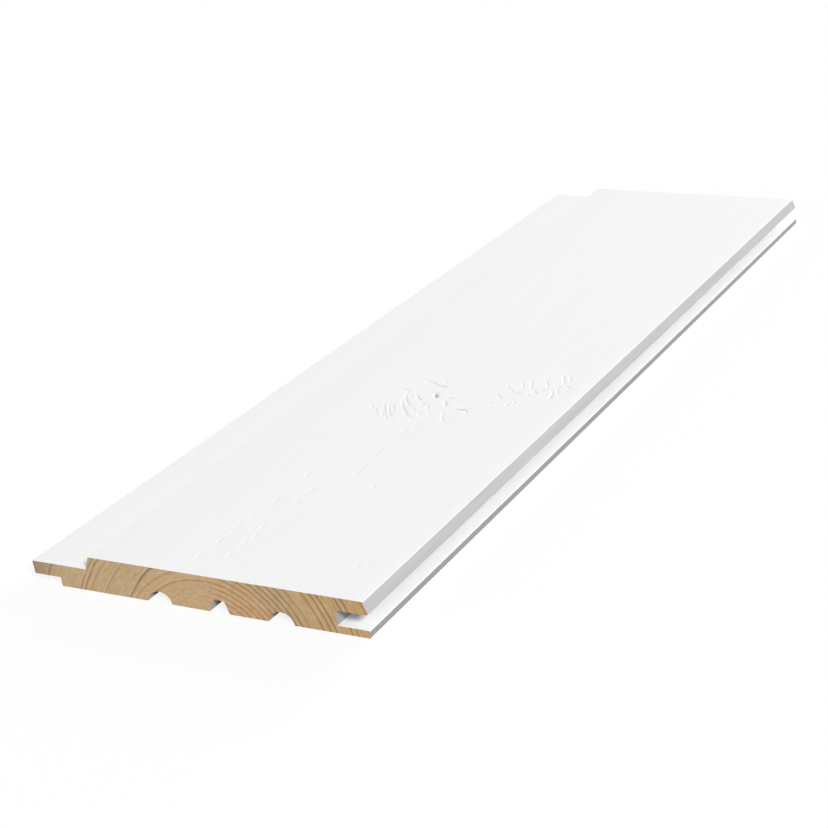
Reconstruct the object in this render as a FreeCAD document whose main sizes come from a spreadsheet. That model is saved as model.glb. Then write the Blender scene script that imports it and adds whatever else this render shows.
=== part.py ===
"""A tongue and groove panel board, planed from one piece of softwood.

Millimetres. X runs across the board from the tongue (-X) to the groove (+X), Y along its length and Z up
from the back, which lies flat. The origin is at the middle of the back. The board is made the way a moulder
makes it: a plain blank, then one cut for each tool, then the long arrises are eased.
"""

import FreeCAD
import Part
import os
import Sketcher

# alias, value and meaning of each driving dimension
DRIVING_SIZES = [
    ("board_length", 515.0, "length of the board"),
    ("cover_width", 132.5, "width that one laid board covers"),
    ("thickness", 14.0, "back to face"),
    ("tongue_length", 12.5, "tip of the tongue to the shoulder under it"),
    ("tongue_thickness", 5.2, "tongue, top to underside"),
    ("tip_angle", 8.0, "lean of the tongue's tip, degrees"),
    ("lower_shoulder_angle", 5.0, "lean of the shoulder under the tongue, degrees"),
    ("shadow_gap", 12.8, "floor of the recess that shows between two laid boards"),
    ("face_shoulder_angle", 17.0, "lean of the shoulder above the tongue, degrees"),
    ("lower_lip", 3.0, "thickness of the lip under the groove"),
    ("lip_setback", 0.3, "upper lip's tip, back from the lower lip's edge"),
    ("lip_bevel_angle", 20.0, "lean of the upper lip's edge, degrees"),
    ("play_below", 0.6, "gap under a neighbour's tongue"),
    ("play_above", 0.1, "gap over a neighbour's tongue at the bottom of the groove"),
    ("play_end", 0.5, "gap at the tip of a neighbour's tongue"),
    ("groove_flare", 0.2, "extra height at the mouth of the groove"),
    ("relief_offset", 62.0, "middle relief groove, in from the lower lip's edge"),
    ("relief_spacing", 26.0, "middle relief groove to each round one"),
    ("relief_radius", 5.5, "round relief grooves"),
    ("relief_drop", 1.0, "centre of the round relief grooves, below the back"),
    ("relief_mouth", 8.6, "middle relief groove, width at the back"),
    ("relief_bed", 4.4, "middle relief groove, width of its bed"),
    ("relief_depth", 5.0, "middle relief groove"),
    ("arris_radius", 0.4, "easing of the long edges"),
]

# alias and formula of each size that follows from the driving ones, named by their alias after Sizes
DERIVED_SIZES = [
    ("right_edge", "(Sizes.cover_width + Sizes.tongue_length) / 2"),
    ("left_edge", "-right_edge"),
    ("tongue_floor", "Sizes.lower_lip + Sizes.play_below"),
    ("tongue_top", "tongue_floor + Sizes.tongue_thickness"),
    ("tip_foot", "left_edge + Sizes.tongue_thickness * tan(Sizes.tip_angle * 1 deg)"),
    ("tongue_root", "left_edge + Sizes.tongue_length"),
    ("back_left", "tongue_root + tongue_floor * tan(Sizes.lower_shoulder_angle * 1 deg)"),
    ("shelf_end", "tongue_root - Sizes.lip_setback + Sizes.shadow_gap"),
    ("face_left", "shelf_end + (Sizes.thickness - tongue_top) * tan(Sizes.face_shoulder_angle * 1 deg)"),
    ("groove_bed", "right_edge - Sizes.tongue_length - Sizes.play_end"),
    ("groove_bed_top", "tongue_top + Sizes.play_above"),
    ("groove_mouth_top", "groove_bed_top + Sizes.groove_flare"),
    ("lip_tip", "right_edge - Sizes.lip_setback"),
    ("face_right", "lip_tip - (Sizes.thickness - groove_mouth_top) * tan(Sizes.lip_bevel_angle * 1 deg)"),
    ("relief_middle", "right_edge - Sizes.relief_offset"),
    ("relief_left", "relief_middle - Sizes.relief_spacing"),
    ("relief_right", "relief_middle + Sizes.relief_spacing"),
    ("mouth_left", "relief_middle - Sizes.relief_mouth / 2"),
    ("mouth_right", "relief_middle + Sizes.relief_mouth / 2"),
    ("bed_left", "relief_middle - Sizes.relief_bed / 2"),
    ("bed_right", "relief_middle + Sizes.relief_bed / 2"),
    ("relief_centre", "-Sizes.relief_drop"),
]

# corners of each cut's outline, across and up, as formulas in the sizes
BLANK = [
    ("Derived.left_edge", "0"),
    ("Derived.right_edge", "0"),
    ("Derived.right_edge", "Sizes.thickness"),
    ("Derived.left_edge", "Sizes.thickness"),
]
ABOVE_TONGUE = [
    ("Derived.left_edge", "Derived.tongue_top"),
    ("Derived.shelf_end", "Derived.tongue_top"),
    ("Derived.face_left", "Sizes.thickness"),
    ("Derived.left_edge", "Sizes.thickness"),
]
BELOW_TONGUE = [
    ("Derived.left_edge", "0"),
    ("Derived.back_left", "0"),
    ("Derived.tongue_root", "Derived.tongue_floor"),
    ("Derived.tip_foot", "Derived.tongue_floor"),
    ("Derived.left_edge", "Derived.tongue_top"),
]
GROOVE = [
    ("Derived.groove_bed", "Sizes.lower_lip"),
    ("Derived.right_edge", "Sizes.lower_lip"),
    ("Derived.right_edge", "Sizes.thickness"),
    ("Derived.face_right", "Sizes.thickness"),
    ("Derived.lip_tip", "Derived.groove_mouth_top"),
    ("Derived.groove_bed", "Derived.groove_bed_top"),
]
MIDDLE_RELIEF = [
    ("Derived.mouth_left", "0"),
    ("Derived.mouth_right", "0"),
    ("Derived.bed_right", "Sizes.relief_depth"),
    ("Derived.bed_left", "Sizes.relief_depth"),
]
ROUND_RELIEFS = ["Derived.relief_left", "Derived.relief_right"]

# the long edges that are eased, by their corner in the section
ARRISES = [
    ("Derived.left_edge", "Derived.tongue_top"),
    ("Derived.tip_foot", "Derived.tongue_floor"),
    ("Derived.back_left", "0"),
    ("Derived.face_left", "Sizes.thickness"),
    ("Derived.face_right", "Sizes.thickness"),
    ("Derived.lip_tip", "Derived.groove_mouth_top"),
    ("Derived.right_edge", "Sizes.lower_lip"),
    ("Derived.right_edge", "0"),
]
SAME_PLACE = 1e-4
ORIGIN_POINT = (-1, 1)


def fill_sheets(doc):
    """One sheet holds the driving numbers, and the other the sizes that follow from them."""
    sizes = doc.addObject("Spreadsheet::Sheet", "Sizes")
    for row, (alias, value, meaning) in enumerate(DRIVING_SIZES, start=1):
        sizes.set(f"A{row}", str(value))
        sizes.setAlias(f"A{row}", alias)
        sizes.set(f"B{row}", meaning)
    derived = doc.addObject("Spreadsheet::Sheet", "Derived")
    for row, (alias, formula) in enumerate(DERIVED_SIZES, start=1):
        derived.set(f"A{row}", "=" + formula)
        derived.setAlias(f"A{row}", alias)
    doc.recompute()


def value_of(doc, formula):
    """The number that a corner's formula stands for: a sheet's cell, or a plain number."""
    if "." not in formula:
        return float(formula)
    sheet, alias = formula.split(".")
    return float(getattr(doc.getObject(sheet), alias))


def section_sketch(body, name):
    """An empty sketch in the plane of the board's section: across is X and up is Z."""
    sketch = body.newObject("Sketcher::SketchObject", name)
    plane = next(o for o in body.Origin.OriginFeatures if o.Role == "XZ_Plane")
    sketch.AttachmentSupport = [(plane, "")]
    sketch.MapMode = "FlatFace"
    return sketch


def hold_point(sketch, point, across, up):
    """Ties a sketch point to two formulas, measured from the sketch's origin."""
    doc = sketch.Document
    for kind, formula in (("DistanceX", across), ("DistanceY", up)):
        held = Sketcher.Constraint(kind, *ORIGIN_POINT, *point, value_of(doc, formula))
        index = sketch.addConstraint(held)
        if "." in formula:
            sketch.setExpression(f"Constraints[{index}]", formula)


def draw_outline(sketch, corners):
    """A closed outline of straight lines through the corners."""
    doc = sketch.Document
    points = [FreeCAD.Vector(value_of(doc, across), value_of(doc, up), 0) for across, up in corners]
    for start, end in zip(points, points[1:] + points[:1]):
        sketch.addGeometry(Part.LineSegment(start, end))
    for line in range(len(points)):
        before = (line - 1) % len(points)
        sketch.addConstraint(Sketcher.Constraint("Coincident", before, 2, line, 1))
    for line, (across, up) in enumerate(corners):
        hold_point(sketch, (line, 1), across, up)


def draw_circle(sketch, across, up, radius):
    """A circle whose centre and radius are tied to formulas."""
    doc = sketch.Document
    centre = FreeCAD.Vector(value_of(doc, across), value_of(doc, up), 0)
    circle = sketch.addGeometry(Part.Circle(centre, FreeCAD.Vector(0, 0, 1), value_of(doc, radius)))
    hold_point(sketch, (circle, 3), across, up)
    index = sketch.addConstraint(Sketcher.Constraint("Radius", circle, value_of(doc, radius)))
    sketch.setExpression(f"Constraints[{index}]", radius)


def pad_blank(body):
    """The squared blank, as long as the board, centred on the section's plane."""
    sketch = section_sketch(body, "BlankOutline")
    draw_outline(sketch, BLANK)
    pad = body.newObject("PartDesign::Pad", "Blank")
    pad.Profile = sketch
    pad.SideType = "Symmetric"
    pad.setExpression("Length", "Sizes.board_length")
    body.Document.recompute()


def cut_along(body, name, sketch):
    """A cutter run along the whole board, which has to take some wood away."""
    before = body.Shape.Volume
    cut = body.newObject("PartDesign::Pocket", name)
    cut.Profile = sketch
    cut.SideType = "Symmetric"
    cut.Type = "ThroughAll"
    body.Document.recompute()
    if not body.Shape.Volume < before:
        raise RuntimeError(f"{name} cut nothing")


def ease_arrises(body):
    """A small radius along each exposed long edge."""
    doc = body.Document
    cut_board = body.Tip
    corners = [(value_of(doc, across), value_of(doc, up)) for across, up in ARRISES]
    found = []
    for number, edge in enumerate(cut_board.Shape.Edges, start=1):
        ends = [(vertex.X, vertex.Z) for vertex in edge.Vertexes]
        for x, z in corners:
            if all(abs(px - x) < SAME_PLACE and abs(pz - z) < SAME_PLACE for px, pz in ends):
                found.append(f"Edge{number}")
    if len(found) != len(corners):
        raise RuntimeError(f"{len(corners)} arrises are wanted and {len(found)} were found")
    fillet = body.newObject("PartDesign::Fillet", "EasedArrises")
    fillet.Base = (cut_board, found)
    fillet.setExpression("Radius", "Sizes.arris_radius")
    doc.recompute()


def make_board(doc):
    """The whole board, as one body."""
    body = doc.addObject("PartDesign::Body", "Board")
    body.Label = "board"
    pad_blank(body)
    outlines = [
        ("AboveTongue", ABOVE_TONGUE),
        ("BelowTongue", BELOW_TONGUE),
        ("Groove", GROOVE),
        ("MiddleRelief", MIDDLE_RELIEF),
    ]
    for name, corners in outlines:
        sketch = section_sketch(body, name + "Outline")
        draw_outline(sketch, corners)
        cut_along(body, name, sketch)
    sketch = section_sketch(body, "RoundReliefsOutline")
    for across in ROUND_RELIEFS:
        draw_circle(sketch, across, "Derived.relief_centre", "Sizes.relief_radius")
    cut_along(body, "RoundReliefs", sketch)
    ease_arrises(body)
    return body


def check(doc, bodies):
    """Stops before anything is written if an object failed or a shape isn't one sound solid."""
    failed = [o.Name for o in doc.Objects if {"Invalid", "Error"} & set(o.State)]
    if failed:
        raise RuntimeError(f"these objects failed: {failed}")
    for body in bodies:
        if body.Shape.isNull() or not body.Shape.isValid() or len(body.Shape.Solids) != 1:
            raise RuntimeError(f"{body.Label} isn't one valid solid")


def main():
    doc = FreeCAD.newDocument("TongueAndGrooveBoard")
    fill_sheets(doc)
    board = make_board(doc)
    check(doc, [board])
    os.makedirs("parts", exist_ok=True)
    board.Shape.exportStep(f"parts/{board.Label}.step")
    box = board.Shape.BoundBox
    print(f"{board.Label}: {box.XLength:.2f} x {box.YLength:.2f} x {box.ZLength:.2f} mm,")
    print(f"volume {board.Shape.Volume / 1000:.1f} cm3, {len(board.Shape.Faces)} faces")


main()
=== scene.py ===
import math

import bmesh
import bpy
import numpy as np
from mathutils import Matrix, Vector


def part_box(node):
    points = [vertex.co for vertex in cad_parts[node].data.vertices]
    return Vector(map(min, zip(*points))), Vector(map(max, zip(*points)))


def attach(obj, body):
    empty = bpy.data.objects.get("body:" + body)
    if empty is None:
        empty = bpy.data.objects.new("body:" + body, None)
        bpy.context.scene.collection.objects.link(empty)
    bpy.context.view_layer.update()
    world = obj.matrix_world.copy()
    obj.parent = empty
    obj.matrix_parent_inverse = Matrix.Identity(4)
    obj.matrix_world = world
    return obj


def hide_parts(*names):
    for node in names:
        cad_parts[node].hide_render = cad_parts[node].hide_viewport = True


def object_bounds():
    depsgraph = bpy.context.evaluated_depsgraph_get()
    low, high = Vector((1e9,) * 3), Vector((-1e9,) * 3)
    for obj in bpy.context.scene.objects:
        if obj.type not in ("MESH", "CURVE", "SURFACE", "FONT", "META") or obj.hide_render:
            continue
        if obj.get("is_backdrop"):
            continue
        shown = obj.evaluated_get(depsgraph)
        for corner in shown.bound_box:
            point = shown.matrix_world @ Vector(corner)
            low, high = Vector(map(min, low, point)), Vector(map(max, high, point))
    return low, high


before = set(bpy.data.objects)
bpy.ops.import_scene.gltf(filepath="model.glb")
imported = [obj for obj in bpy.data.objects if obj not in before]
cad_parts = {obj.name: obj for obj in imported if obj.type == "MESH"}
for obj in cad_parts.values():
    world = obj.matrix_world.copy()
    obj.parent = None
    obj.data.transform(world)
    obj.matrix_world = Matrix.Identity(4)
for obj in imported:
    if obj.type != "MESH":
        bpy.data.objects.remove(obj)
cad_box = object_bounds()

# The board is the CAD section run along its length again, with the grain sunk into its face as mesh.
# Lengths are in metres, unless a comment says millimetres. +X is the groove's side and -Y the near end.
MM = 0.001
NODE = "board"

# the photograph's camera, round the middle of the board's back: angles in degrees
IMAGE_PIXELS = 828
SENSOR = 36.0
FOCAL_PIXELS = 1979.4
CAMERA_AZIMUTH = 28.29
CAMERA_ELEVATION = 21.50
CAMERA_ROLL = -4.65
CAMERA_DISTANCE = 933.8 * MM
CAMERA_SLIDE_LEFT = 35.2 * MM
CAMERA_SLIDE_DOWN = 21.6 * MM

# the part of the face that has grain, from the near end to past the knots, and the steps of its mesh
PATCH_ACROSS = (-17 * MM, 64 * MM)
PATCH_END = -28 * MM
PATCH_FADE = 2 * MM
KNOTS_START = -106 * MM
KNOT_STEP = 0.305 * MM
HEART_STEP = 1.4 * MM

# how near two points are when they are the same, and which faces and edges are sides and corners
SAME_PLACE = 1e-6
SIDE_LEAN = 0.5
SHARP_ANGLE = math.radians(36)

# lines of grain sunk into the face, as (depth, half width, points across and along) in millimetres
KNOT_GRAIN = {
    "crack over the knot": (0.30, 0.75, [(-6, -55), (-2, -56.3), (1.5, -58.5), (4.5, -60), (8.4, -61)]),
    "end of the crack": (0.36, 0.95, [(4.4, -59.9), (9, -61.5)]),
    "curl over the crack": (0.28, 0.55, [(5.2, -53), (5.0, -55), (6.4, -56.6)]),
    "upper bow": (0.27, 0.65, [(-10.7, -67.5), (-8, -68.8), (-5.4, -70)]),
    "outer bow": (0.28, 0.58, [(-4.3, -78), (-2, -84.3), (1.6, -90), (6, -95.2), (10.3, -99.4)]),
    "inner bow": (0.26, 0.52, [(-5.4, -70.5), (-5.2, -73.9), (-0.8, -81.8), (1.1, -85.6)]),
    "side of the bow": (0.19, 0.45, [(-0.9, -80.6), (2.2, -85.8)]),
    "nick": (0.30, 0.55, [(-3.3, -72.9), (-1.9, -75.4)]),
    "slash": (0.32, 0.58, [(-1.4, -71.8), (2.5, -76.9), (5.3, -77.9)]),
    "curl": (0.29, 0.55, [(5.1, -81.2), (7.8, -82.2), (7.6, -84.4)]),
    "side of the curl": (0.22, 0.52, [(8.8, -82.4), (10.8, -84.6), (12, -88)]),
    "short slash": (0.29, 0.48, [(4.4, -87.6), (7.4, -91)]),
    "first flame": (0.18, 0.50, [(9.6, -91), (10.9, -94)]),
    "soft flame": (0.10, 1.60, [(14.1, -99.4), (15.6, -106.3), (17.6, -114.1)]),
    "second flame": (0.18, 0.50, [(13.9, -89.8), (15.2, -92.8)]),
    "heart of the knot": (0.50, 0.95, [(6.6, -68.2), (7.9, -69.8), (9.4, -72.8), (10, -74)]),
    "speck beside the heart": (0.30, 0.50, [(4.7, -68.1), (5.3, -68.9)]),
    "first arc": (0.26, 0.75, [(11.8, -67.4), (14.7, -67)]),
    "second arc": (0.27, 0.75, [(13.5, -72.3), (15.5, -72.5), (17.7, -73)]),
    "pit": (0.33, 0.80, [(15, -75.6), (15.6, -76.8), (17.4, -80.4), (18, -81.6)]),
    "side crack": (0.35, 0.95, [(22, -84.5), (26, -83.4), (29.6, -82.5)]),
    "tail of the side crack": (0.28, 0.60, [(28.6, -83), (29.7, -86.5)]),
    "lower bow": (0.22, 0.65, [(19.5, -87.5), (22, -94), (24.5, -98), (26.5, -99), (29, -98.5)]),
    "lower line": (0.22, 0.60, [(24.5, -95), (28, -94.5)]),
}
SPIKE_GRAIN = {
    "root": (0.25, 0.55, [(33, -62), (35, -64), (37.5, -67.5)]),
    "long hook": (
        0.26, 0.55, [(33.5, -50.5), (35, -54.5), (37, -56), (39.5, -58.5), (43, -59), (45, -58.6)],
    ),
    "dash": (0.46, 0.60, [(47.6, -55), (50.2, -55)]),
    "link": (0.35, 0.50, [(50, -55), (50.5, -52.5), (53.5, -50.5)]),
    "bow": (0.33, 0.55, [(55, -52), (56.5, -55), (57.5, -58.5), (58, -62)]),
    "side bow": (0.20, 0.50, [(56, -48.5), (58.5, -54), (59.5, -57)]),
    "chain": (0.29, 0.48, [(55.5, -46), (58, -47.5)]),
    "turn": (0.22, 0.48, [(58.5, -45), (61, -47.5)]),
    "low dash": (0.29, 0.50, [(46.6, -59.8), (48.6, -60.6)]),
    "first speck": (0.26, 0.50, [(55.4, -65.4), (56, -66.6)]),
    "second speck": (0.28, 0.55, [(42.4, -72), (43.4, -74)]),
    "third speck": (0.28, 0.50, [(44.6, -69), (46, -70.5)]),
    "fourth speck": (0.28, 0.50, [(47.4, -70.4), (48.4, -72)]),
    "soft patch": (0.28, 0.70, [(34.4, -73), (36, -73.6)]),
}

# more lines, of a few kinds: the way they run, depth and half width, then where each starts and its length
RIPPLE_WAY = (0.480, -0.877)
RIPPLE = (0.24, 0.52)
RIPPLE_BOW = 0.6
RIPPLES = [
    ((-14.5, -88), 5.6), ((-11.3, -90.8), 8), ((-8.3, -90), 11.6),
    ((-11.3, -82.2), 25), ((-7.5, -84.9), 19), ((-5.3, -85.5), 8.2),
]
HOOK_WAY = (0.400, -0.917)
HOOK = (0.24, 0.52)
HOOKS = [
    ((38.6, -45.5), 8.5), ((42, -44.5), 9.5), ((48, -40.5), 9.5), ((52.5, -33), 12), ((56, -33), 7),
]
SPECKS = [((26.8, -165), 4.5), ((54.3, -230), 4.5), ((57, -226.5), 3.5)]
HEART_WAY = (-0.07, 0.998)
HEART = (0.22, 0.42)
LEFT_HEARTS = [
    ((-5.8, -245), 4), ((-5.1, -232.5), 5), ((-4.6, -223.5), 3), ((-6.2, -215.5), 4),
    ((-4.4, -207.5), 3), ((-5.2, -198.5), 3.5), ((-3.1, -194), 5.5), ((-3.6, -168), 6),
]
RIGHT_HEARTS = [
    ((5, -240.5), 4.5), ((4.7, -230.5), 5), ((5.6, -223), 4),
    ((4.1, -217.5), 6), ((5.4, -191.5), 4), ((4.8, -178.5), 3),
]
SOFT_HEART = (0.12, 0.60)
SOFT_HEARTS = [((15, -162), 14), ((13.6, -143), 11), ((13.2, -118), 11)]
LINE_POINTS = 7

# each line is shallow at its tips, over these shares of its length
TIP_DEPTH = 0.25
HEAD_SHARE = 0.35
TAIL_SHARE = 0.25

# waves that keep the lines from being too neat, in radians per millimetre across and along
WOBBLE = 0.2
WOBBLE_ACROSS = (0.3, 0.45)
WOBBLE_ALONG = (0.7, -0.3)
UNEVEN = 0.15
UNEVEN_WAVES = [(1.7, 0.8), (-0.6, 1.1)]

# coats, in the order of the board's materials, and which sides of the section get greyer paint as painted
# shade:
# those in the back's reliefs, and those that face out on the groove's side this far and don't face down
FACE, FULL, SHADE_PAINTED, DEEP_SHADE_PAINTED, ENDS = range(5)
SHADE_PAINTED_FACING = 0.85
DEEP_SHADE_PAINTED_FACING = 0.97
FACES_DOWN = -0.1
RELIEFS_ACROSS = (-30 * MM, 50 * MM)
RELIEFS_TOP = 7 * MM

# paint: grey levels from dull to bright, and the share of them left from the face down into the grain,
# which paints shade into the grain lines
FACE_SHADES = (0.870, 0.882)
# greyer levels that are painted shade: lighter on the bevel and in the reliefs, darker on the lip's edge
# and the groove's wall
PAINTED_SHADE_LEVELS = (0.447, 0.500)
DEEP_PAINTED_SHADE_LEVELS = (0.336, 0.358)
SHADE_STOPS = (0.3, 0.7)
# painted shade in the grain: the share of the paint's grey left at each depth into a line
GRAIN_PAINTED_SHADE = [(0.0, 1.0), (0.5, 0.97), (0.75, 0.74), (1.0, 0.46)]
DEEPEST = 0.36 * MM
PAINT_SHEEN = 0.12
DEEP_PAINTED_SHADE_SHEEN = 0.02
PAINT_ROUGHNESS = [(0.2, 0.74), (0.8, 0.84)]
FIBRES_PER_METRE = (1400, 45, 1400)
FIBRE_BUMP = {"Strength": 0.35, "Distance": 0.03 * MM}

# scale, detail and roughness of each noise
FIBRES = (1.0, 3.0, 0.6)
CLOUDS = (0.25, 3.0, 0.5)
WANDER = (0.09, 3.0, 0.5)
WEAR = (0.16, 2.0, 0.5)
STREAKS = (1.1, 5.0, 0.7)
PORES = (2.6, 3.0, 0.7)
NOISE_MIDDLE = 0.5

# growth rings on the ends, as (radius, darkness) in millimetres round a pith that lies below the board
PITH = (4 * MM, -21 * MM)
TONGUE_SIDE_RINGS = [
    (33.0, 0.80), (36.9, 0.50), (39.9, 1.00), (49.0, 0.45),
    (54.9, 0.50), (57.4, 0.95), (59.3, 0.60), (74.1, 1.00),
]
GROOVE_SIDE_RINGS = [
    (33.2, 0.60), (49.2, 0.60), (54.4, 0.95), (57.1, 0.90),
    (59.3, 1.00), (65.3, 1.00), (67.5, 0.90), (74.2, 0.90),
]
RING_SPAN = (24.0, 82.0)
RING_RISE = 0.85
RING_FALL = 0.35
RING_PALE = 0.75
RING_WANDER = 0.8
EARLY_WOOD = 0.15
WORN_LEVELS = [(0.3, 0.75), (0.6, 1.0)]
SIDES_MEET = (0.0, 9.0)

# rings on the tongue's side that lean: where they start, lean fully, lean less and end
LEANING_RINGS = (36.9, 39.5, 43.0, 48.0)
LEAN = 0.19
UPRIGHT_HEIGHT = 28.0

# close rings on the groove's side: how far apart they are, the levels across one, and where they fade out
NARROW_RING = 2.16
NARROW_RING_LEVELS = [(0.0, 0.10), (0.20, 0.16), (0.47, 1.00), (0.62, 0.0), (0.85, 0.12)]
NARROW_RINGS_END = (47.5, 46.5)

# colours of the ends: early wood on both sides, from dull to pale, and late wood by its radius
TONGUE_SIDE_WOOD = [(0.36, (0.438, 0.296, 0.152)), (0.64, (0.585, 0.432, 0.254))]
GROOVE_SIDE_WOOD = [(0.36, (0.424, 0.257, 0.106)), (0.64, (0.570, 0.380, 0.187))]
WARMER_ACROSS = (10.0, 66.0)
STREAK_TURN = 10.0
PALE_WOOD = (0.600, 0.455, 0.285)
PALE_SHARE = 0.45
ORANGE = (0.330, 0.120, 0.030)
BROWN = (0.135, 0.080, 0.028)
RUST = (0.195, 0.092, 0.028)
LATE_WOOD = [(30, ORANGE), (36, ORANGE), (39, BROWN), (48, BROWN), (58, RUST), (66, RUST)]
PORE = (0.286, 0.184, 0.088)
PORE_LEVELS = [(0.35, 0.22), (0.6, 0.0)]
PORE_BUMP = {"Strength": 0.4, "Distance": 0.06 * MM}
# the end turns darker and greyer towards the tongue's tip
TONGUE_TIP_GREY = (0.195, 0.150, 0.100)
TONGUE_TIP_ACROSS = (-62.0, -76.5)
TONGUE_TIP_SHARE = 0.7
END_ROUGHNESS = 0.78

# the floor: its colour to the eye and to light that bounces off it, and how white it is made to the eye
FLOOR_HALF = 20.0
FLOOR_DROP = 0.02 * MM
FLOOR_SEEN = (0.97, 0.97, 0.97)
FLOOR_BOUNCE = (0.5, 0.5, 0.5)
FLOOR_WHITE = 0.86
WHITE = (1, 1, 1, 1)


def add_object(name, data):
    """A new object in the scene."""
    thing = bpy.data.objects.new(name, data)
    bpy.context.scene.collection.objects.link(thing)
    return thing


def direction(azimuth, elevation):
    """Towards a place round the board: azimuth 0 is the near end and 90 the groove's side, in degrees."""
    a, e = math.radians(azimuth), math.radians(elevation)
    return Vector((math.sin(a) * math.cos(e), -math.cos(a) * math.cos(e), math.sin(e)))


def near_rim(shape):
    """Each point on the rim of the near end, with its two neighbours on the rim."""
    near = min(v.co.y for v in shape.verts)
    neighbours = {}
    for edge in shape.edges:
        on_end = all(abs(v.co.y - near) < SAME_PLACE for v in edge.verts)
        if on_end and any(abs(face.normal.y) < SIDE_LEAN for face in edge.link_faces):
            first, second = edge.verts
            neighbours.setdefault(first, []).append(second)
            neighbours.setdefault(second, []).append(first)
    return neighbours


def section_outline(node):
    """The board's section as (across, up) points, anticlockwise round the rim of its near end."""
    shape = bmesh.new()
    shape.from_mesh(node.data)
    bmesh.ops.remove_doubles(shape, verts=shape.verts, dist=SAME_PLACE)
    neighbours = near_rim(shape)
    start = next(iter(neighbours))
    loop = [start, neighbours[start][0]]
    while loop[-1] is not start:
        ahead = [v for v in neighbours[loop[-1]] if v is not loop[-2]]
        loop.append(ahead[0])
    points = [(v.co.x, v.co.z) for v in loop[:-1]]
    shape.free()
    area = sum(a[0] * b[1] - b[0] * a[1] for a, b in zip(points, points[1:] + points[:1]))
    return points if area > 0 else points[::-1]


def face_last(outline, top):
    """The outline turned so that its longest flat stretch at the top is the one that closes it."""
    flats = []
    for i, (a, b) in enumerate(zip(outline, outline[1:] + outline[:1])):
        if min(a[1], b[1]) > top - SAME_PLACE:
            flats.append((abs(b[0] - a[0]), i))
    longest = max(flats)[1]
    return outline[longest + 1:] + outline[:longest + 1]


def spread(start, end, step):
    """Places from start to end, both included, about a step apart."""
    return np.linspace(start, end, round((end - start) / step) + 1)


def smooth_step(low, high, value):
    t = np.clip((value - low) / (high - low), 0, 1)
    return t * t * (3 - 2 * t)


def stroke(x, y, points, width):
    """How far into a line of grain each place lies: 1 on its line, less to its sides and its tips."""
    points = np.array(points, float)
    lengths = np.linalg.norm(np.diff(points, axis=0), axis=1)
    along_at = np.concatenate([[0], np.cumsum(lengths)])
    nearest = np.full(x.shape, np.inf)
    along = np.zeros(x.shape)
    for first, second, length, before in zip(points[:-1], points[1:], lengths, along_at[:-1]):
        step = (second - first) / length
        t = np.clip((x - first[0]) * step[0] + (y - first[1]) * step[1], 0, length)
        gap = np.hypot(x - first[0] - step[0] * t, y - first[1] - step[1] * t)
        closer = gap < nearest
        nearest = np.where(closer, gap, nearest)
        along = np.where(closer, before + t, along)
    share = along / along_at[-1]
    full = smooth_step(0, HEAD_SHARE, share) * smooth_step(1, 1 - TAIL_SHARE, share)
    return np.exp(-((nearest / width) ** 2)) * (TIP_DEPTH + (1 - TIP_DEPTH) * full)


def parallel_lines(kind, places, way, bow=0.0):
    """Lines of grain of one kind that run the same way from their own places, bowed aside if asked."""
    share = np.linspace(0, 1, LINE_POINTS)
    for place, length in places:
        points = np.array(place) + np.outer(share * length, way)
        points[:, 0] -= bow * np.sin(math.pi * share)
        yield (*kind, points)


def wave(x, y, turns):
    return np.sin(turns[0] * x + turns[1] * y)


def face_relief(x, y):
    """Depth of the grain below the face, in metres, at places given in millimetres."""
    grain = [
        *KNOT_GRAIN.values(),
        *SPIKE_GRAIN.values(),
        *parallel_lines(RIPPLE, RIPPLES, RIPPLE_WAY, RIPPLE_BOW),
        *parallel_lines(HOOK, HOOKS + SPECKS, HOOK_WAY),
        *parallel_lines(HEART, LEFT_HEARTS + RIGHT_HEARTS, HEART_WAY),
        *parallel_lines(SOFT_HEART, SOFT_HEARTS, HEART_WAY),
    ]
    wobbled_x = x + WOBBLE * wave(x, y, WOBBLE_ACROSS)
    wobbled_y = y + WOBBLE * wave(x, y, WOBBLE_ALONG)
    depth = np.zeros(x.shape)
    for deepest, width, points in grain:
        depth = np.maximum(depth, deepest * stroke(wobbled_x, wobbled_y, points, width))
    first, second = (wave(x, y, turns) for turns in UNEVEN_WAVES)
    return depth * (1 - UNEVEN + UNEVEN * first * second) * MM


def grain_patch(near, top):
    """Rows of points over the part of the face that has grain, from the near end to past the knots."""
    columns = spread(*PATCH_ACROSS, KNOT_STEP)
    heart_rows = spread(near, KNOTS_START, HEART_STEP)
    knot_rows = spread(KNOTS_START, PATCH_END, KNOT_STEP)
    rows = np.concatenate([heart_rows, knot_rows[1:]])
    across, along = np.meshgrid(columns, rows)
    inset = np.minimum(np.minimum(across - columns[0], columns[-1] - across), rows[-1] - along)
    sunk = face_relief(across / MM, along / MM) * smooth_step(0, PATCH_FADE, inset)
    return np.stack([across, along, top - sunk], -1)


def coat_of(first, second):
    """The coat on the side of the section between two points, greyer paint where shade is painted on."""
    across, up = (first[0] + second[0]) / 2, (first[1] + second[1]) / 2
    # the reliefs' sides get greyer paint as painted shade
    if RELIEFS_ACROSS[0] < across < RELIEFS_ACROSS[1] and SAME_PLACE < up < RELIEFS_TOP:
        return SHADE_PAINTED
    length = math.dist(first, second)
    outward = (second[1] - first[1]) / length
    upward = (first[0] - second[0]) / length
    # sides that face out on the groove's side get greyer paint as painted shade, darkest where they face
    # straight out
    if upward < FACES_DOWN or outward < SHADE_PAINTED_FACING:
        return FULL
    return DEEP_SHADE_PAINTED if outward > DEEP_SHADE_PAINTED_FACING else SHADE_PAINTED


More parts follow.
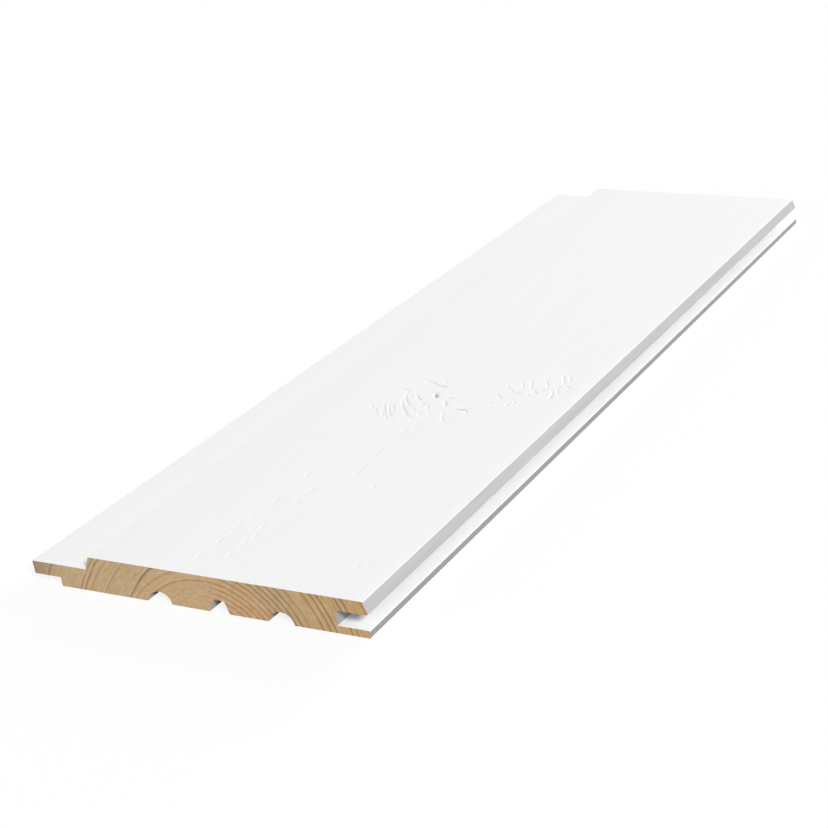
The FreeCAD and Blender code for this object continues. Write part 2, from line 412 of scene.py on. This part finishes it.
def board_mesh(node):
    """The board's section run along its length, with the grain sunk into its face."""
    low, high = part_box(NODE)
    outline = face_last(section_outline(node), high.z)
    patch = grain_patch(low.y, high.z)
    count = len(outline)
    near, far = list(range(count)), list(range(count, 2 * count))
    far_left, far_right = 2 * count, 2 * count + 1
    points = [(x, low.y, z) for x, z in outline] + [(x, high.y, z) for x, z in outline]
    points += [(x, high.y, high.z) for x in PATCH_ACROSS]
    grid = np.arange(patch.shape[0] * patch.shape[1]).reshape(patch.shape[:2]) + len(points)
    points += patch.reshape(-1, 3).tolist()

    sides = [(near[i], far[i], far[i + 1], near[i + 1]) for i in range(count - 1)]
    corners = grid[:-1, :-1], grid[:-1, 1:], grid[1:, 1:], grid[1:, :-1]
    grain = np.stack(corners, -1).reshape(-1, 4).tolist()
    strips = [
        [near[0], *grid[:, 0].tolist(), far_left, far[0]],
        [near[-1], far[-1], far_right, *grid[::-1, -1].tolist()],
        [*grid[-1].tolist(), far_right, far_left],
    ]
    ends = [near + grid[0, ::-1].tolist(), (far + [far_right, far_left])[::-1]]

    mesh = bpy.data.meshes.new("board")
    mesh.from_pydata(points, [], sides + grain + strips + ends)
    rounded, flat = len(sides) + len(grain), len(strips) + len(ends)
    mesh.polygons.foreach_set("use_smooth", [True] * rounded + [False] * flat)
    coats = [coat_of(a, b) for a, b in zip(outline[:-1], outline[1:])]
    coats += [FACE] * (len(grain) + len(strips)) + [ENDS] * len(ends)
    mesh.polygons.foreach_set("material_index", coats)
    mesh.set_sharp_from_angle(angle=SHARP_ANGLE)
    return mesh


class Graph:
    """The nodes of one material or world, added and linked in one call each."""

    def __init__(self, owner):
        self.owner = owner
        owner.use_nodes = True
        self.tree = owner.node_tree
        self.tree.nodes.clear()

    def put(self, socket, value):
        """Links another node's output to a socket, or sets a plain value on it."""
        if isinstance(value, bpy.types.NodeSocket):
            self.tree.links.new(value, socket)
        else:
            socket.default_value = value

    def add(self, kind, inputs=None, **settings):
        node = self.tree.nodes.new(kind)
        for name, value in settings.items():
            setattr(node, name, value)
        for name, value in (inputs or {}).items():
            self.put(node.inputs[name], value)
        return node

    def math(self, operation, first, second=0.0):
        return self.add("ShaderNodeMath", {0: first, 1: second}, operation=operation).outputs[0]

    def vector(self, operation, first, second):
        return self.add("ShaderNodeVectorMath", {0: first, 1: second}, operation=operation).outputs[0]

    def noise(self, place, scale, detail, roughness):
        inputs = {"Vector": place, "Scale": scale, "Detail": detail, "Roughness": roughness}
        return self.add("ShaderNodeTexNoise", inputs).outputs["Fac"]

    def between(self, value, start, end, low=0.0, high=1.0):
        """From low to high as the value goes from start to end, and level beyond them."""
        inputs = {"Value": value, "From Min": start, "From Max": end, "To Min": low, "To Max": high}
        return self.add("ShaderNodeMapRange", inputs).outputs["Result"]

    def ramp(self, value, stops):
        """Colours or grey levels at stops from 0 to 1, and straight lines between them."""
        node = self.add("ShaderNodeValToRGB", {"Fac": value})
        elements = node.color_ramp.elements
        while len(elements) < len(stops):
            elements.new(1.0)
        for element, (position, colour) in zip(elements, stops):
            element.position = position
            element.color = (*colour, 1.0) if isinstance(colour, tuple) else (colour, colour, colour, 1.0)
        return node.outputs["Color"]

    def mix(self, share, first, second, **settings):
        node = self.add("ShaderNodeMix", data_type="RGBA", **settings)
        for name, value in (("Factor", share), ("A", first), ("B", second)):
            socket = next(s for s in node.inputs if s.name == name and s.enabled)
            self.put(socket, (*value, 1.0) if isinstance(value, tuple) else value)
        return next(s for s in node.outputs if s.enabled)

    def bump(self, height, settings):
        return self.add("ShaderNodeBump", {**settings, "Height": height}).outputs["Normal"]

    def seen(self):
        """1 for rays that show a thing to the eye, also in gloss and glass, and 0 for other rays."""
        path = self.add("ShaderNodeLightPath").outputs
        shown = self.math("MAXIMUM", path["Is Camera Ray"], path["Is Glossy Ray"])
        return self.math("MAXIMUM", shown, path["Is Transmission Ray"])

    def finish(self, output, shader):
        self.add(output, {"Surface": shader})
        return self.owner


def new_material(name):
    return Graph(bpy.data.materials.new(name))


def painted(name, shades, sheen, grain_painted_shade=None):
    """Nearly matt paint with faint fibres along the board, with shade painted into the grain, darker with
    depth, if it is given the shares for that.
    """
    graph = new_material(name)
    place = graph.add("ShaderNodeTexCoord").outputs["Object"]
    stretch = {"Vector": place, "Scale": FIBRES_PER_METRE}
    stretched = graph.add("ShaderNodeMapping", stretch).outputs["Vector"]
    fibres = graph.noise(stretched, *FIBRES)
    colour = graph.ramp(graph.noise(stretched, *CLOUDS), list(zip(SHADE_STOPS, shades)))
    # painted shade in the grain: the paint darkens with depth below the face
    if grain_painted_shade:
        up = graph.add("ShaderNodeSeparateXYZ", {"Vector": place}).outputs["Z"]
        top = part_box(NODE)[1].z
        grain_shade = graph.ramp(graph.between(up, top, top - DEEPEST), grain_painted_shade)
        colour = graph.mix(1.0, colour, grain_shade, blend_type="MULTIPLY")
    shader = graph.add("ShaderNodeBsdfPrincipled", {
        "Base Color": colour,
        "Roughness": graph.ramp(fibres, PAINT_ROUGHNESS),
        "Normal": graph.bump(fibres, FIBRE_BUMP),
        "Specular IOR Level": sheen,
    })
    return graph.finish("ShaderNodeOutputMaterial", shader.outputs["BSDF"])


def ring_share(radius):
    """Where a radius, in millimetres, lies in the span of the rings."""
    start, end = RING_SPAN
    return (radius - start) / (end - start)


def wide_rings(graph, radius, rings):
    """Darkness of the late wood: each ring darkens outwards and ends at once in a pale band."""
    stops = []
    for darkest, darkness in rings:
        edge = darkest + RING_FALL
        levels = [
            (darkest - RING_RISE, EARLY_WOOD),
            (darkest, darkness),
            (edge, EARLY_WOOD * (1 - darkness)),
            (edge + RING_PALE, EARLY_WOOD),
        ]
        stops += [(ring_share(place), level) for place, level in levels]
    return graph.ramp(graph.between(radius, *RING_SPAN), stops)


def narrow_rings(graph, radius):
    """Darkness of close rings near the pith, evenly apart."""
    phase = graph.math("FRACT", graph.math("DIVIDE", radius, NARROW_RING))
    rings = graph.ramp(phase, NARROW_RING_LEVELS)
    return graph.math("MULTIPLY", rings, graph.between(radius, *NARROW_RINGS_END))


def leaning_radius(graph, radius, height):
    """The radius for the tongue's side, where some of the rings lean out of round."""
    start, full, less, end = LEANING_RINGS
    share = graph.math("MULTIPLY", graph.between(radius, start, full), graph.between(radius, end, less))
    lean = graph.math("MULTIPLY", graph.math("SUBTRACT", height, UPRIGHT_HEIGHT), LEAN)
    return graph.math("SUBTRACT", radius, graph.math("MULTIPLY", share, lean))


def late_wood(graph, flat, radius, across, height):
    """Darkness of the rings: few on the tongue's side of the pith and many on the groove's."""
    tongue_side = wide_rings(graph, leaning_radius(graph, radius, height), TONGUE_SIDE_RINGS)
    groove_side = wide_rings(graph, radius, GROOVE_SIDE_RINGS)
    groove_side = graph.math("MAXIMUM", narrow_rings(graph, radius), groove_side)
    darkness = graph.mix(graph.between(across, *SIDES_MEET), tongue_side, groove_side)
    return graph.math("MULTIPLY", darkness, graph.ramp(graph.noise(flat, *WEAR), WORN_LEVELS))


def early_wood(graph, radius, across, height, late):
    """Colour between the rings: streaked, warmer towards the groove, and pale behind each ring."""
    turn = graph.math("MULTIPLY", graph.math("ARCTAN2", across, height), STREAK_TURN)
    polar = graph.add("ShaderNodeCombineXYZ", {"X": radius, "Y": turn}).outputs[0]
    streaks = graph.noise(polar, *STREAKS)
    tongue_side = graph.ramp(streaks, TONGUE_SIDE_WOOD)
    groove_side = graph.ramp(streaks, GROOVE_SIDE_WOOD)
    colour = graph.mix(graph.between(across, *WARMER_ACROSS), tongue_side, groove_side)
    return graph.mix(graph.between(late, EARLY_WOOD, 0.0, high=PALE_SHARE), colour, PALE_WOOD)


def end_grain():
    """Bare sawn softwood, in millimetres from the pith."""
    graph = new_material("end_grain")
    place = graph.add("ShaderNodeTexCoord").outputs["Object"]
    offset = graph.vector("SUBTRACT", place, (PITH[0], 0, PITH[1]))
    flat = graph.vector("MULTIPLY", offset, (1 / MM, 0, 1 / MM))
    parts = graph.add("ShaderNodeSeparateXYZ", {"Vector": flat}).outputs
    across, height = parts["X"], parts["Z"]
    round_radius = graph.add("ShaderNodeVectorMath", {0: flat}, operation="LENGTH").outputs["Value"]
    unsteady = graph.math("SUBTRACT", graph.noise(flat, *WANDER), NOISE_MIDDLE)
    radius = graph.math("ADD", round_radius, graph.math("MULTIPLY", unsteady, RING_WANDER))

    late = late_wood(graph, flat, radius, across, height)
    early_colour = early_wood(graph, radius, across, height, late)
    late_stops = [(ring_share(ring), colour) for ring, colour in LATE_WOOD]
    late_colour = graph.ramp(graph.between(radius, *RING_SPAN), late_stops)
    colour = graph.mix(late, early_colour, late_colour)
    pores = graph.noise(flat, *PORES)
    colour = graph.mix(graph.ramp(pores, PORE_LEVELS), colour, PORE)
    # darker and greyer towards the tongue's tip
    colour = graph.mix(graph.between(across, *TONGUE_TIP_ACROSS, high=TONGUE_TIP_SHARE), colour, TONGUE_TIP_GREY)
    shader = graph.add("ShaderNodeBsdfPrincipled", {
        "Base Color": colour,
        "Roughness": END_ROUGHNESS,
        "Normal": graph.bump(pores, PORE_BUMP),
    })
    return graph.finish("ShaderNodeOutputMaterial", shader.outputs["BSDF"])


def make_board():
    board = add_object("painted_board", board_mesh(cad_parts[NODE]))
    coats = [
        painted("face_paint", FACE_SHADES, PAINT_SHEEN, GRAIN_PAINTED_SHADE),
        painted("full_coat", FACE_SHADES, PAINT_SHEEN),
        # the next two are greyer paint as painted shade, on the groove's side and in the reliefs
        painted("paint_with_painted_shade", PAINTED_SHADE_LEVELS, PAINT_SHEEN),
        painted("paint_with_deep_painted_shade", DEEP_PAINTED_SHADE_LEVELS, DEEP_PAINTED_SHADE_SHEEN),
        end_grain(),
    ]
    for coat in coats:
        board.data.materials.append(coat)
    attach(board, "root")
    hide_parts(NODE)


def make_floor():
    """A pale floor, white to the eye but for a soft shadow, that throws little light back at the board."""
    signs = [(-1, -1), (1, -1), (1, 1), (-1, 1)]
    corners = [(x * FLOOR_HALF, y * FLOOR_HALF, -FLOOR_DROP) for x, y in signs]
    mesh = bpy.data.meshes.new("floor")
    mesh.from_pydata(corners, [], [(0, 1, 2, 3)])
    floor = add_object("floor", mesh)
    graph = new_material("pale_floor")
    seen = graph.seen()
    colour = graph.mix(seen, FLOOR_BOUNCE, FLOOR_SEEN)
    matt = graph.add("ShaderNodeBsdfDiffuse", {"Color": colour}).outputs[0]
    white = graph.add("ShaderNodeEmission", {"Color": WHITE, "Strength": 1.0}).outputs[0]
    share = graph.math("MULTIPLY", seen, FLOOR_WHITE)
    shader = graph.add("ShaderNodeMixShader", {0: share, 1: matt, 2: white}).outputs[0]
    mesh.materials.append(graph.finish("ShaderNodeOutputMaterial", shader))
    floor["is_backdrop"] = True


def make_sun(name, azimuth, elevation, strength, width):
    """A soft light from far off. At a strength of 1 it makes a white surface that faces it just white."""
    light = bpy.data.lights.new(name, "SUN")
    light.energy = strength * math.pi
    light.angle = math.radians(width)
    lamp = add_object(name, light)
    lamp.rotation_euler = direction(azimuth, elevation).to_track_quat("Z", "Y").to_euler()


def make_world(level):
    """Soft light from all round at a low level, and white to the eye."""
    world = bpy.data.worlds.new("studio")
    bpy.context.scene.world = world
    graph = Graph(world)
    strength = graph.between(graph.seen(), 0.0, 1.0, low=level)
    background = graph.add("ShaderNodeBackground", {"Color": WHITE, "Strength": strength}).outputs[0]
    graph.finish("ShaderNodeOutputWorld", background)


def make_camera():
    """The photograph's camera, turned about its own axis by the roll and slid sideways in its own plane."""
    azimuth, roll = math.radians(CAMERA_AZIMUTH), math.radians(CAMERA_ROLL)
    back = direction(CAMERA_AZIMUTH, CAMERA_ELEVATION)
    level = Vector((math.cos(azimuth), math.sin(azimuth), 0))
    steep = back.cross(level)
    right = math.cos(roll) * level + math.sin(roll) * steep
    up = -math.sin(roll) * level + math.cos(roll) * steep
    camera = add_object("camera", bpy.data.cameras.new("camera"))
    camera.data.sensor_width = SENSOR
    camera.data.lens = FOCAL_PIXELS / IMAGE_PIXELS * SENSOR
    place = back * CAMERA_DISTANCE - right * CAMERA_SLIDE_LEFT - up * CAMERA_SLIDE_DOWN
    turn = Matrix((right, up, back)).transposed().to_4x4()
    camera.matrix_world = Matrix.Translation(place) @ turn
    bpy.context.scene.camera = camera


bpy.context.scene.view_settings.view_transform = "Standard"
make_board()
make_floor()
make_sun("key", azimuth=50, elevation=34, strength=1.025, width=15)
make_sun("front", azimuth=-43, elevation=14, strength=0.286, width=25)
make_sun("back", azimuth=175, elevation=14, strength=0.92, width=25)
make_world(level=0.15)
make_camera()
boxes = {"cad": cad_box, "visual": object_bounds()}
{name: [list(corner) for corner in box] for name, box in boxes.items()}
